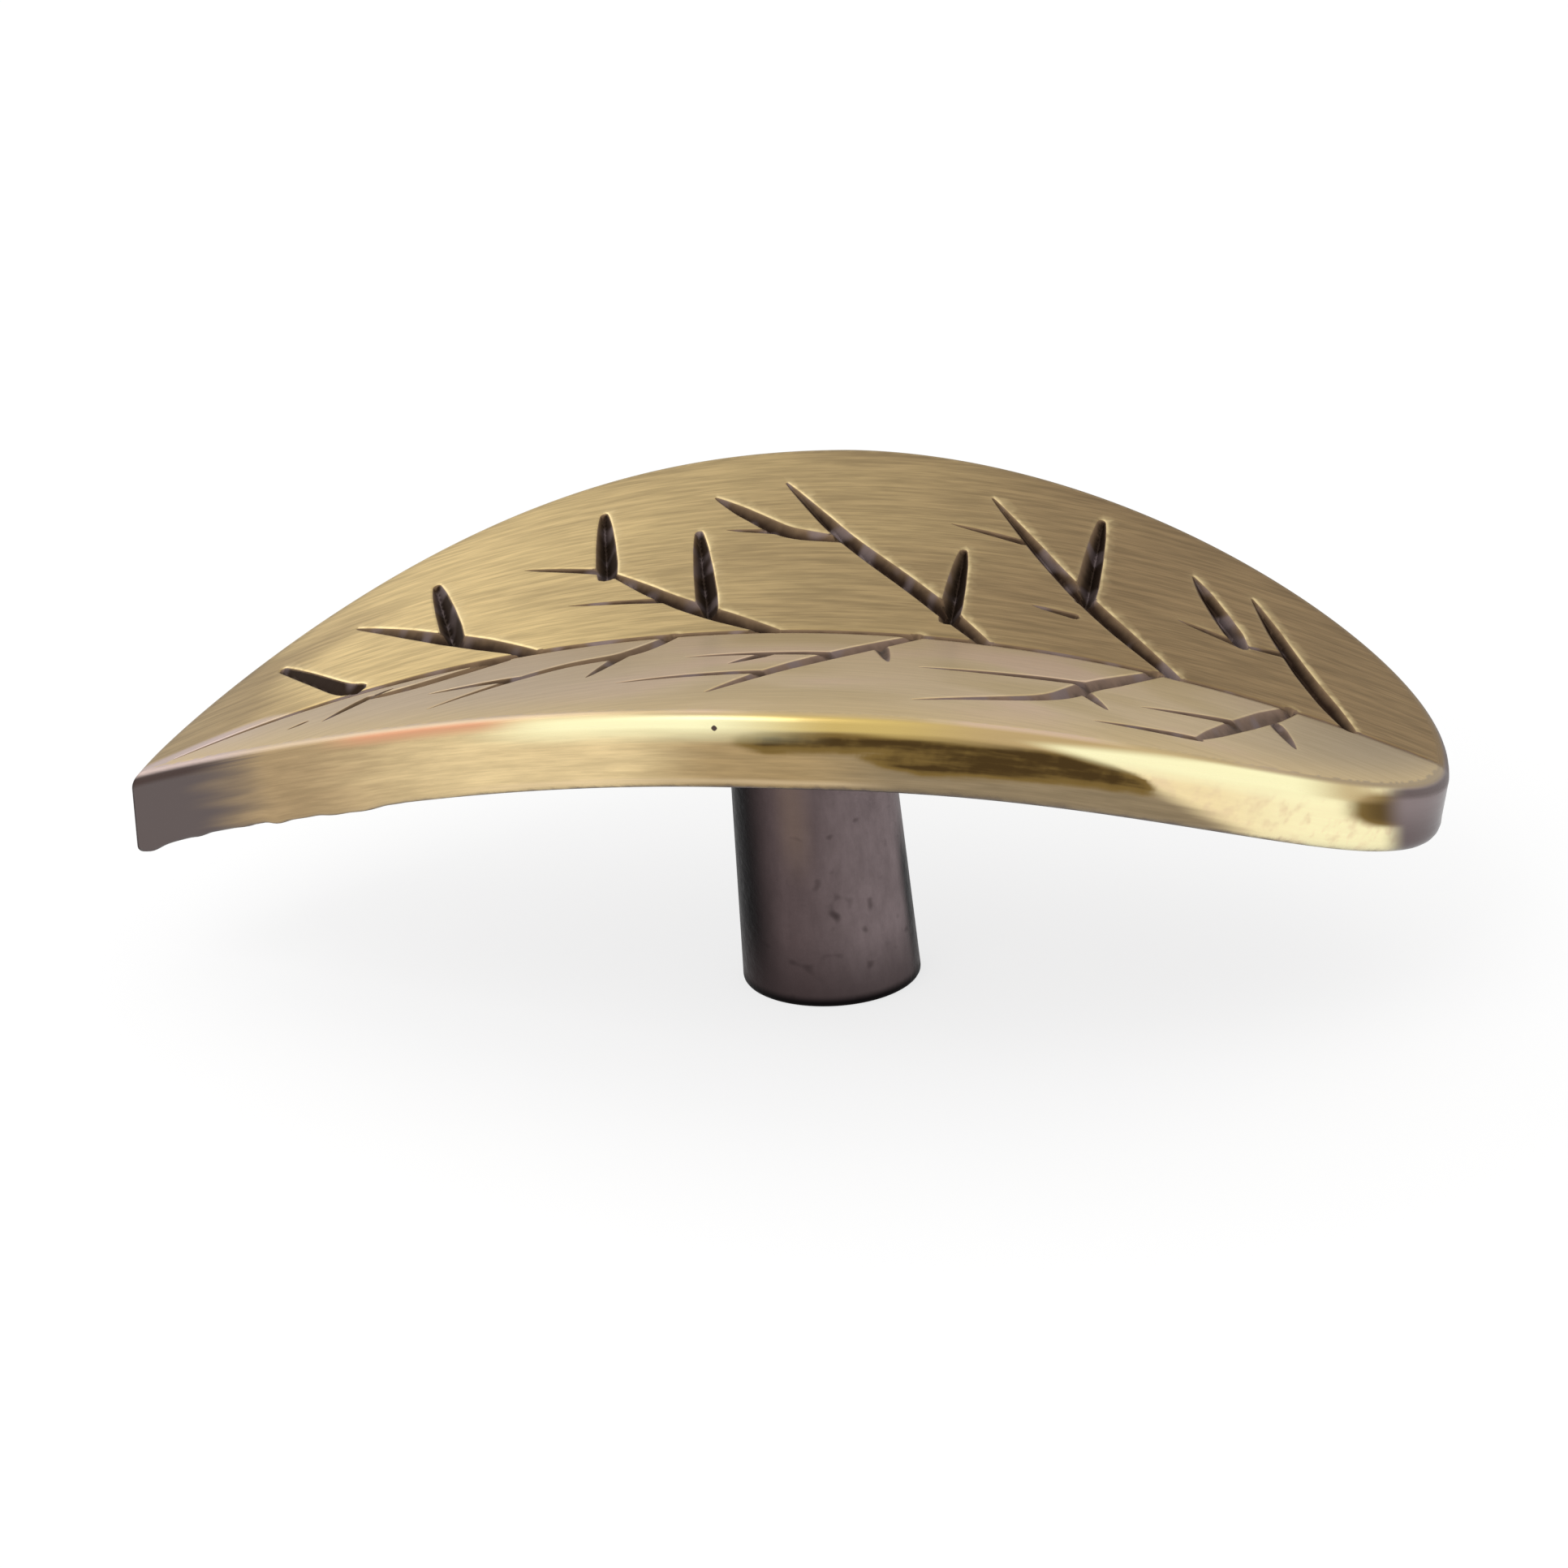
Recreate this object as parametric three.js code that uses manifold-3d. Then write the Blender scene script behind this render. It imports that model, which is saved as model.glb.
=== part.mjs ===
// Leaf shaped cabinet pull, cast in one piece.
// An arched leaf, folded along its midrib and carved with veins, stands on a round post.
// The post is drilled from below for the fixing screw that comes through the drawer front.
// Millimetres. +Z points out from the drawer front, +X to the leaf's stalk end, -X to its tip.
// The origin is the middle of the leaf's length and width, on the plane of the post's base.

import * as THREE from 'three';
import { mergeVertices } from 'three/addons/utils/BufferGeometryUtils.js';
import Module from 'manifold-3d';

// Leaf blade
const LEAF_LENGTH = 90;
const LEAF_WIDTH = 51.5;
const LEAF_THICKNESS = 5.5; // height of the edge, measured square to the base plane
const MIDRIB_HEIGHT = 25; // of the midrib above the base plane, at mid-length
const ARCH_DROP = 10.25; // how far the arch falls to either end
const FOLD_ANGLE = { tip: 1, middle: 9.2, stalk: 5.8 }; // rise of each half from the midrib, degrees

// Edge of the blade
const TOP_FILLET = 0.8;
const BOTTOM_FILLET = { tip: 0.5, stalk: 1.8 };
const WALL_LEAN = { tip: 0, middle: 0.3, stalk: 0.5 }; // how far the wall runs in under the blade
const UNDERSIDE_EASE = 2.5; // half-width of the softened fold on the underside

// Post
const POST_OFFSET = 2.7; // of the base's centre from mid-length, towards the stalk
const POST_BASE_RADIUS = 6.1;
const POST_TAPER = 1.9; // degrees that the side draws in on its way up
const POST_LEAN = 2.4; // degrees that the post leans towards the tip, as cast
const POST_BASE_ROUNDING = 0.3;
const POST_FILLET = 0.8; // where the post runs into the underside
const POST_BITE = 1.5; // how deep the post's own solid runs into the blade

// Blind hole for an M4 screw, drilled at the thread's core size
const SCREW_HOLE_RADIUS = 1.65;
const SCREW_HOLE_DEPTH = 12;
const SCREW_HOLE_CHAMFER = 0.6;
const DRILL_POINT_ANGLE = 118;

// Carved strokes: width at the surface and depth
const STROKES = {
  vein: { width: 1.5, depth: 0.95, swell: [0.6, 1, 0.95, 0.75, 0.15] },
  wedge: { width: 1.6, depth: 1.05, swell: [0.9, 1, 0.9, 0.7, 0.4] },
  twig: { width: 0.75, depth: 0.45, swell: [1, 0.9, 0.75, 0.5, 0.15] },
  broadVein: { width: 1.7, depth: 0.9, swell: [0.6, 1, 0.95, 0.7, 0.15] },
  broadTwig: { width: 1.1, depth: 0.45, swell: [0.9, 1, 0.8, 0.5, 0.15] },
  midrib: { width: 0.8, depth: 0.45, swell: [0.2, 1.3, 0.9, 0.8, 0.3] },
};
const CUT_CLEARANCE = 0.4; // how far the cutters stand above the surface

// Carving of the two halves. A place on a half is [along, across]: along runs from -1 at the tip
// to 1 at the stalk end, across from 0 on the midrib to 1 on the outline.
const FAR_CARVING = [
  ['vein', [0.855, 0], [0.78, 0.34], [0.7, 0.73]],
  ['twig', [0.75, 0.42], [0.69, 0.36]],
  ['vein', [0.69, 0.36], [0.655, 0.51], [0.61, 0.7]],
  ['twig', [0.68, 0.36], [0.593, 0.38]],
  ['vein', [0.597, 0], [0.483, 0.27], [0.4, 0.49], [0.297, 0.8]],
  ['wedge', [0.452, 0.34], [0.465, 0.83]],
  ['twig', [0.35, 0.59], [0.24, 0.62]],
  ['twig', [0.44, 0.235], [0.376, 0.25]],
  ['vein', [0.315, 0], [0.215, 0.22], [0.081, 0.5], [-0.025, 0.8]],
  ['wedge', [0.255, 0.11], [0.263, 0.48]],
  ['vein', [0.073, 0.49], [-0.007, 0.53], [-0.071, 0.63], [-0.133, 0.75]],
  ['twig', [-0.015, 0.53], [-0.105, 0.56]],
  ['vein', [0.002, 0], [-0.11, 0.12], [-0.186, 0.23], [-0.285, 0.42]],
  ['wedge', [-0.109, 0.13], [-0.149, 0.56]],
  ['wedge', [-0.28, 0.39], [-0.31, 0.77]],
  ['twig', [-0.29, 0.42], [-0.418, 0.55]],
  ['twig', [-0.175, 0.2], [-0.329, 0.25]],
  ['vein', [-0.365, 0], [-0.483, 0.17], [-0.555, 0.3], [-0.68, 0.62]],
  ['wedge', [-0.504, 0.21], [-0.563, 0.67]],
  ['wedge', [-0.645, 0.05], [-0.68, 0.12], [-0.791, 0.61]],
];
const NEAR_CARVING = [
  ['broadVein', [0.766, 0], [0.7, 0.42], [0.64, 0.76]],
  ['broadTwig', [0.702, 0.4], [0.56, 0.47]],
  ['broadTwig', [0.643, 0.74], [0.5, 0.75]],
  ['broadTwig', [0.748, 0.28], [0.781, 0.58]],
  ['broadVein', [0.568, 0], [0.484, 0.32], [0.417, 0.57], [0.246, 0.76]],
  ['broadTwig', [0.468, 0.39], [0.514, 0.59]],
  ['broadTwig', [0.475, 0.31], [0.343, 0.35], [0.235, 0.37]],
  ['broadVein', [0.214, 0], [0.104, 0.28], [0.021, 0.5], [-0.055, 0.75]],
  ['broadTwig', [0.165, 0.14], [0.187, 0.33]],
  ['broadTwig', [0.111, 0.26], [-0.115, 0.3]],
  ['broadTwig', [0.006, 0.285], [-0.044, 0.4]],
  ['broadTwig', [0.015, 0.5], [-0.2, 0.6]],
  ['broadVein', [-0.154, 0], [-0.213, 0.2], [-0.315, 0.3], [-0.492, 0.68]],
  ['broadTwig', [-0.213, 0.2], [-0.255, 0.49]],
  ['broadTwig', [-0.365, 0.38], [-0.507, 0.4]],
  ['broadVein', [-0.41, 0.03], [-0.534, 0.17], [-0.623, 0.2]],
  ['broadTwig', [-0.615, 0.18], [-0.676, 0.5]],
];
const MIDRIB_CARVING = ['midrib', [-0.93, 0], [-0.5, 0], [0, 0], [0.5, 0], [0.965, 0]];

// Shape of each half of the outline. The widest place is given along the leaf, and the powers set
// how full the half is towards the tip and towards the stalk, and how round it is at each end.
const OUTLINES = {
  far: { widest: 0.055, tipFull: 2.6, tipRound: 0.686, stalkFull: 1.61, stalkRound: 0.423 },
  near: { widest: 0.1, tipFull: 1.56, tipRound: 1.12, stalkFull: 1.8, stalkRound: 0.49 },
};

// Fineness of the mesh
const OUTLINE_STEPS = 56; // along each half
const BLADE_STEPS = 4; // from the midrib out to the edge
const FILLET_STEPS = 3;
const POST_SIDES = 44;
const HOLE_SIDES = 24;
const STROKE_STEP = 3.2; // between the sections of a stroke
const MIDRIB_STEP = 7;
const MERGE_DISTANCE = 1e-4; // vertices closer than this are one

const HALF_LENGTH = LEAF_LENGTH / 2;
const HALF_WIDTH = LEAF_WIDTH / 2;
const FOOT_INSET = 0.05; // share by which the innermost row of the mesh stops short of the ends

const wasm = await Module();
wasm.setup();

// Value along the leaf that passes through a tip, a middle and a stalk value.
function throughThree({ tip, middle, stalk }, along) {
  return middle + (along * (stalk - tip)) / 2 + along * along * ((stalk + tip) / 2 - middle);
}

function slopeOf(degrees) {
  return Math.tan(THREE.MathUtils.degToRad(degrees));
}

// Height of the blade's top over the base plane: an arch along the leaf, and a fold across it.
function topHeight(x, y) {
  const along = x / HALF_LENGTH;
  const arch = MIDRIB_HEIGHT - ARCH_DROP * along * along;
  return arch + slopeOf(throughThree(FOLD_ANGLE, along)) * Math.abs(y);
}

// The underside follows the top, with its fold rounded off.
function undersideHeight(x, y) {
  return topHeight(x, Math.hypot(y, UNDERSIDE_EASE)) - LEAF_THICKNESS;
}

// Half-width of the leaf at a place along it.
function halfWidthAt(along, outline) {
  const { widest, tipFull, tipRound, stalkFull, stalkRound } = outline;
  if (along < widest) {
    const share = (widest - along) / (widest + 1);
    return HALF_WIDTH * Math.max(0, 1 - share ** tipFull) ** tipRound;
  }
  const share = (along - widest) / (1 - widest);
  return HALF_WIDTH * Math.max(0, 1 - share ** stalkFull) ** stalkRound;
}

// Plan view outline: once round, tip first, along the near half and back along the far half.
function outlinePoints() {
  const points = [];
  for (let i = 0; i < 2 * OUTLINE_STEPS; i += 1) {
    const angle = (i / OUTLINE_STEPS) * Math.PI;
    const along = -Math.cos(angle);
    const near = i <= OUTLINE_STEPS;
    const width = halfWidthAt(along, near ? OUTLINES.near : OUTLINES.far);
    points.push(new THREE.Vector2(along * HALF_LENGTH, near ? -width : width));
  }
  return points;
}

// Unit vector that points out of the outline at one of its points.
function outwardAt(points, i) {
  const count = points.length;
  const before = points[(i + count - 1) % count];
  const after = points[(i + 1) % count];
  return new THREE.Vector2(after.y - before.y, before.x - after.x).normalize();
}

// Steps round a quarter circle, as [share of the radius still to go, share of it gone].
function quarterRound() {
  return Array.from({ length: FILLET_STEPS + 1 }, (_, k) => {
    const turn = ((k / FILLET_STEPS) * Math.PI) / 2;
    return [1 - Math.sin(turn), 1 - Math.cos(turn)];
  });
}

// Section of the edge from the blade's top round to its underside, as [inset, depth].
function edgeSection(along) {
  const stalkShare = (1 + along) / 2;
  const fillet = THREE.MathUtils.lerp(BOTTOM_FILLET.tip, BOTTOM_FILLET.stalk, stalkShare);
  const lean = throughThree(WALL_LEAN, along);
  const upper = quarterRound().map(([left, gone]) => [TOP_FILLET * left, TOP_FILLET * gone]);
  const lower = quarterRound().map(([left, gone]) => {
    return [lean + fillet * gone, LEAF_THICKNESS - fillet * left];
  });
  return [...upper, ...lower];
}

// One row of the blade's mesh: midrib, top, edge, underside and back to the midrib.
function bladeRow(points, i) {
  const rim = points[i];
  const along = rim.x / HALF_LENGTH;
  const outward = outwardAt(points, i);
  const foot = new THREE.Vector2(rim.x * (1 - FOOT_INSET * along * along), 0);
  const section = edgeSection(along);
  const topRim = rim.clone().addScaledVector(outward, -section[0][0]);
  const bottomRim = rim.clone().addScaledVector(outward, -section[section.length - 1][0]);
  const row = [];
  for (let k = 0; k < BLADE_STEPS; k += 1) {
    const place = foot.clone().lerp(topRim, k / BLADE_STEPS);
    row.push(new THREE.Vector3(place.x, place.y, topHeight(place.x, place.y)));
  }
  for (const [inset, depth] of section) {
    const place = rim.clone().addScaledVector(outward, -inset);
    const share = depth / LEAF_THICKNESS;
    const top = topHeight(place.x, place.y);
    const bottom = undersideHeight(place.x, place.y);
    row.push(new THREE.Vector3(place.x, place.y, THREE.MathUtils.lerp(top, bottom, share)));
  }
  for (let k = BLADE_STEPS - 1; k >= 0; k -= 1) {
    const place = foot.clone().lerp(bottomRim, k / BLADE_STEPS);
    row.push(new THREE.Vector3(place.x, place.y, undersideHeight(place.x, place.y)));
  }
  return row;
}

// Closed skin through rows that run once round the leaf, wound so that it faces outwards.
function skinOverRows(rows) {
  const width = rows[0].length;
  const positions = rows.flat().flatMap((point) => point.toArray());
  const indices = [];
  for (let i = 0; i < rows.length; i += 1) {
    const next = (i + 1) % rows.length;
    for (let k = 0; k < width - 1; k += 1) {
      const a = i * width + k;
      const b = next * width + k;
      indices.push(a, a + 1, b + 1, a, b + 1, b);
    }
  }
  return geometryFrom(positions, indices);
}

function geometryFrom(positions, indices) {
  const geometry = new THREE.BufferGeometry();
  geometry.setAttribute('position', new THREE.Float32BufferAttribute(positions, 3));
  geometry.setIndex(indices);
  return geometry;
}

// Solid for cutting and joining. Vertices that share a place are merged, and flat triangles go.
function solidFrom(geometry) {
  const bare = geometry.clone();
  bare.deleteAttribute('normal');
  bare.deleteAttribute('uv');
  const merged = mergeVertices(bare, MERGE_DISTANCE);
  const index = merged.getIndex().array;
  const kept = [];
  for (let t = 0; t < index.length; t += 3) {
    const [a, b, c] = [index[t], index[t + 1], index[t + 2]];
    if (a !== b && b !== c && c !== a) {
      kept.push(a, b, c);
    }
  }
  const vertProperties = new Float32Array(merged.getAttribute('position').array);
  const triVerts = new Uint32Array(kept);
  return new wasm.Manifold(new wasm.Mesh({ numProp: 3, vertProperties, triVerts }));
}

function geometryOf(solid) {
  const mesh = solid.getMesh();
  const geometry = geometryFrom(Array.from(mesh.vertProperties), Array.from(mesh.triVerts));
  geometry.computeVertexNormals();
  return geometry;
}

function bladeSolid() {
  const points = outlinePoints();
  return solidFrom(skinOverRows(points.map((point, i) => bladeRow(points, i))));
}

// Half of the upright post's section, from the base round the outside and up into the blade.
function postSection(underside) {
  const sideAt = (z) => POST_BASE_RADIUS - z * slopeOf(POST_TAPER);
  const base = quarterRound().map(([left, gone]) => {
    const z = POST_BASE_ROUNDING * gone;
    return [sideAt(z) - POST_BASE_ROUNDING * left, z];
  });
  const neck = quarterRound().map(([left, gone]) => {
    const z = underside - POST_FILLET * left;
    return [sideAt(z) + POST_FILLET * gone, z];
  });
  const top = underside + POST_BITE;
  const section = [[0, 0], ...base, ...neck, [sideAt(underside) + POST_FILLET, top], [0, top]];
  return section.map(([r, z]) => new THREE.Vector2(r, z));
}

// The post leans, and its top end follows the fold and arch of the underside.
function postSolid() {
  const underside = undersideHeight(POST_OFFSET, 0);
  const geometry = new THREE.LatheGeometry(postSection(underside), POST_SIDES);
  geometry.rotateX(Math.PI / 2);
  geometry.applyMatrix4(new THREE.Matrix4().makeShear(0, 0, 0, 0, -slopeOf(POST_LEAN), 0));
  geometry.translate(POST_OFFSET, 0, 0);
  const place = geometry.getAttribute('position');
  const neckStart = underside - 2 * POST_FILLET;
  for (let i = 0; i < place.count; i += 1) {
    if (place.getZ(i) > neckStart) {
      const rise = undersideHeight(place.getX(i), place.getY(i)) - underside;
      place.setZ(i, place.getZ(i) + rise);
    }
  }
  return solidFrom(geometry);
}

// Cutter for the screw's blind hole, square to the base, with a chamfered mouth.
function screwHoleCutter() {
  const point = SCREW_HOLE_RADIUS / slopeOf(DRILL_POINT_ANGLE / 2);
  const mouth = SCREW_HOLE_RADIUS + SCREW_HOLE_CHAMFER;
  const section = [
    [0, -CUT_CLEARANCE],
    [mouth + CUT_CLEARANCE, -CUT_CLEARANCE],
    [SCREW_HOLE_RADIUS, SCREW_HOLE_CHAMFER],
    [SCREW_HOLE_RADIUS, SCREW_HOLE_DEPTH],
    [0, SCREW_HOLE_DEPTH + point],
  ];
  const profile = section.map(([r, z]) => new THREE.Vector2(r, z));
  const geometry = new THREE.LatheGeometry(profile, HOLE_SIDES);
  geometry.rotateX(Math.PI / 2);
  geometry.translate(POST_OFFSET, 0, 0);
  return solidFrom(geometry);
}

// Share of a stroke's full width at a place along it, from its root to its end.
function swellAt(swell, share) {
  const place = share * (swell.length - 1);
  const k = Math.min(Math.floor(place), swell.length - 2);
  return THREE.MathUtils.lerp(swell[k], swell[k + 1], place - k);
}

// V-shaped cutter that follows a stroke over the surface.
function strokeCutter([kind, ...places], side, outline, step) {
  const { width, depth, swell } = STROKES[kind];
  const plan = places.map(([along, across]) => {
    const y = side * across * halfWidthAt(along, outline);
    return new THREE.Vector2(along * HALF_LENGTH, y);
  });
  const path = new THREE.SplineCurve(plan);
  const steps = Math.max(3, Math.ceil(path.getLength() / step));
  const positions = [];
  const indices = [0, 1, 2];
  for (let i = 0; i <= steps; i += 1) {
    const share = i / steps;
    const centre = path.getPoint(share);
    const tangent = path.getTangent(share);
    const size = swellAt(swell, share);
    const reach = (size * width * (depth + CUT_CLEARANCE)) / depth / 2;
    for (const hand of [-1, 1]) {
      const x = centre.x - hand * tangent.y * reach;
      const y = centre.y + hand * tangent.x * reach;
      positions.push(x, y, topHeight(x, y) + CUT_CLEARANCE * size);
    }
    positions.push(centre.x, centre.y, topHeight(centre.x, centre.y) - depth * size);
    if (i > 0) {
      const a = 3 * (i - 1);
      for (const [p, q] of [[0, 1], [1, 2], [2, 0]]) {
        indices.push(a + p, a + 3 + p, a + 3 + q, a + p, a + 3 + q, a + q);
      }
    }
  }
  const last = 3 * steps;
  indices.push(last, last + 2, last + 1);
  return solidFrom(geometryFrom(positions, indices));
}

function carvingCutters() {
  return [
    ...FAR_CARVING.map((stroke) => strokeCutter(stroke, 1, OUTLINES.far, STROKE_STEP)),
    ...NEAR_CARVING.map((stroke) => strokeCutter(stroke, -1, OUTLINES.near, STROKE_STEP)),
    strokeCutter(MIDRIB_CARVING, 1, OUTLINES.far, MIDRIB_STEP),
  ];
}

function antiqueBrass() {
  return new THREE.MeshStandardMaterial({ color: 0xa38b55, roughness: 0.35, metalness: 1 });
}

function leafPull() {
  const casting = bladeSolid().add(postSolid());
  const cutters = [screwHoleCutter(), ...carvingCutters()];
  const carved = cutters.reduce((body, cutter) => body.subtract(cutter), casting);
  const mesh = new THREE.Mesh(geometryOf(carved), antiqueBrass());
  mesh.name = 'leaf_pull';
  return mesh;
}

const model = new THREE.Group();
model.add(leafPull());

export default model;
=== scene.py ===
# Leaf shaped cabinet pull: the finely carved casting, its antique brass finish, and the studio.
# Lengths are in millimetres until a mesh is made, which is in metres, in the frame of the part.

import math

import bmesh
import bpy
import numpy as np
from mathutils import Matrix, Vector, noise
from mathutils.geometry import delaunay_2d_cdt


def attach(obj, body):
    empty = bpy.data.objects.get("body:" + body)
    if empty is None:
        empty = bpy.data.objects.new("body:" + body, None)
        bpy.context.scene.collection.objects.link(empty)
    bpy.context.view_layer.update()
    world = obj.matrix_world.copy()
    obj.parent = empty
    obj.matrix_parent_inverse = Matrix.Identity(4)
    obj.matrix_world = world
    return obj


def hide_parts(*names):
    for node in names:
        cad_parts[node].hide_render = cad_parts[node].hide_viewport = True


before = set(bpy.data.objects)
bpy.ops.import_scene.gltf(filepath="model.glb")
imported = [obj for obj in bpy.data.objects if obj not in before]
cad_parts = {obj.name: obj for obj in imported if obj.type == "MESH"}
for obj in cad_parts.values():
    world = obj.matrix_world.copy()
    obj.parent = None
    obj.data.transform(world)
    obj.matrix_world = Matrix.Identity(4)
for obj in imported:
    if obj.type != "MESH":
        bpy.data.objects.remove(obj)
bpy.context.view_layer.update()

MM = 0.001

# Leaf blade, as in the part's source
LEAF_LENGTH = 90
LEAF_WIDTH = 51.5
LEAF_THICKNESS = 5.5
MIDRIB_HEIGHT = 25
ARCH_DROP = 10.25
FOLD_ANGLE = (1, 9.2, 5.8)  # degrees, at the tip, the middle and the stalk end
TOP_FILLET = 0.8
BOTTOM_FILLET = (0.5, 1.8)  # at the tip and the stalk end
WALL_LEAN = (0, 0.3, 0.5)  # at the tip, the middle and the stalk end
UNDERSIDE_EASE = 2.5
DRIP_HEIGHT = 0.6  # of the casting drips along the lower edge by the tip
DRIPS_END = -22
DRIPS_FADE = 8  # length over which they grow
OUTLINES = {  # widest place, fullness and roundness towards the tip, then towards the stalk
    "far": (0.055, 2.6, 0.686, 1.61, 0.423),
    "near": (0.1, 1.56, 1.12, 1.8, 0.49),
}

# Post and screw hole
POST_OFFSET = 2.7
POST_BASE_RADIUS = 6.1
POST_TAPER = 1.9
POST_LEAN = 2.4
POST_BASE_ROUNDING = 0.3
POST_FILLET = 0.8
POST_DRAPE = 3  # length of the post's upper end that follows the underside
THREAD_CORE_RADIUS = 1.65
THREAD_RADIUS = 2.0
THREAD_PITCH = 0.7
THREAD_DEPTH = 10
HOLE_DEPTH = 12
HOLE_CHAMFER = 0.6
DRILL_POINT_ANGLE = 118

# Carved strokes: width at the surface, depth, swell from root to end, brightness of the rim (rubbed
# metal with a painted highlight), darkness
STROKES = {
    "vein": (1.5, 0.95, (0.6, 1, 0.95, 0.75, 0.15), 0.8, 0.95),
    "wedge": (1.6, 1.05, (0.9, 1, 0.9, 0.7, 0.4), 0.9, 1.0),
    "twig": (0.75, 0.45, (1, 0.9, 0.75, 0.5, 0.15), 0.2, 0.75),
    "broad vein": (1.7, 0.9, (0.6, 1, 0.95, 0.7, 0.15), 0.5, 0.5),
    "broad twig": (1.1, 0.45, (0.9, 1, 0.8, 0.5, 0.15), 0.2, 0.65),
    "scratch": (0.5, 0.12, (0.6, 1, 0.9, 0.6, 0.3), 0.0, 0.6),
    "midrib": (0.8, 0.45, (0.2, 1.3, 0.9, 0.8, 0.3), 0.0, 0.6),
}
RIM_ROUNDING = 0.13  # half-width of the softened rim of a stroke
BED_ROUNDING = 0.05  # half-width of the softened bottom of a stroke
RIM_BRIGHT_REACH = 0.18  # reach of the rubbed bright strip beside a rim, which also holds a painted highlight
BRIGHT_OFFSET = 0.03  # of the middle of that bright strip, outside the rim
DARK_REACH = 0.12  # from a rim inwards, over which the dark of a cut grows
LIT_SIDE = (0.8, 0.6)  # plan direction from a stroke to the rim that faces the key lamp, where the painted highlight is brightest
NEAR_BORDER_REACH = 5.0  # of the warmer strip along the near outline, in plan
FAR_BORDER_REACH = 1.3  # of the painted shade, a darker line along the far outline

# Carving of the two halves, with places as (along, across): along is -1 at the tip and 1 at the
# stalk end, across is 0 on the midrib and 1 on the outline.
FAR_CARVING = (
    ("vein", (0.855, 0), (0.78, 0.34), (0.7, 0.73)),
    ("twig", (0.75, 0.42), (0.69, 0.36)),
    ("vein", (0.69, 0.36), (0.655, 0.51), (0.61, 0.7)),
    ("twig", (0.68, 0.36), (0.593, 0.38)),
    ("vein", (0.597, 0), (0.483, 0.27), (0.4, 0.49), (0.297, 0.8)),
    ("wedge", (0.452, 0.34), (0.465, 0.83)),
    ("twig", (0.35, 0.59), (0.24, 0.62)),
    ("twig", (0.44, 0.235), (0.376, 0.25)),
    ("vein", (0.315, 0), (0.215, 0.22), (0.081, 0.5), (-0.025, 0.8)),
    ("wedge", (0.255, 0.11), (0.263, 0.48)),
    ("vein", (0.073, 0.49), (-0.007, 0.53), (-0.071, 0.63), (-0.133, 0.75)),
    ("twig", (-0.015, 0.53), (-0.105, 0.56)),
    ("vein", (0.002, 0), (-0.11, 0.12), (-0.186, 0.23), (-0.285, 0.42)),
    ("wedge", (-0.109, 0.13), (-0.149, 0.56)),
    ("wedge", (-0.28, 0.39), (-0.31, 0.77)),
    ("twig", (-0.29, 0.42), (-0.418, 0.55)),
    ("twig", (-0.175, 0.2), (-0.329, 0.25)),
    ("vein", (-0.365, 0), (-0.483, 0.17), (-0.555, 0.3), (-0.68, 0.62)),
    ("wedge", (-0.504, 0.21), (-0.563, 0.67)),
    ("wedge", (-0.645, 0.05), (-0.68, 0.12), (-0.791, 0.61)),
)
NEAR_CARVING = (
    ("broad vein", (0.766, 0), (0.7, 0.42), (0.64, 0.76)),
    ("broad twig", (0.702, 0.4), (0.56, 0.47)),
    ("broad twig", (0.643, 0.74), (0.5, 0.75)),
    ("broad twig", (0.748, 0.28), (0.781, 0.58)),
    ("broad vein", (0.568, 0), (0.484, 0.32), (0.417, 0.57), (0.246, 0.76)),
    ("broad twig", (0.468, 0.39), (0.514, 0.59)),
    ("broad twig", (0.475, 0.31), (0.343, 0.35), (0.235, 0.37)),
    ("broad vein", (0.214, 0), (0.104, 0.28), (0.021, 0.5), (-0.055, 0.75)),
    ("broad twig", (0.165, 0.14), (0.187, 0.33)),
    ("broad twig", (0.111, 0.26), (-0.115, 0.3)),
    ("broad twig", (0.006, 0.285), (-0.044, 0.4)),
    ("broad twig", (0.015, 0.5), (-0.2, 0.6)),
    ("broad vein", (-0.154, 0), (-0.213, 0.2), (-0.315, 0.3), (-0.492, 0.68)),
    ("broad twig", (-0.213, 0.2), (-0.255, 0.49)),
    ("broad twig", (-0.365, 0.38), (-0.507, 0.4)),
    ("broad vein", (-0.41, 0.03), (-0.534, 0.17), (-0.623, 0.2)),
    ("broad twig", (-0.615, 0.18), (-0.676, 0.5)),
)
SCRATCHES = (
    ("scratch", (-0.705, 0.39), (-0.734, 0.49)),
    ("scratch", (-0.581, 0.11), (-0.614, 0.18)),
)
MIDRIB_CARVING = ("midrib", (-0.93, 0), (-0.5, 0), (0, 0), (0.5, 0), (0.965, 0))
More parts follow.
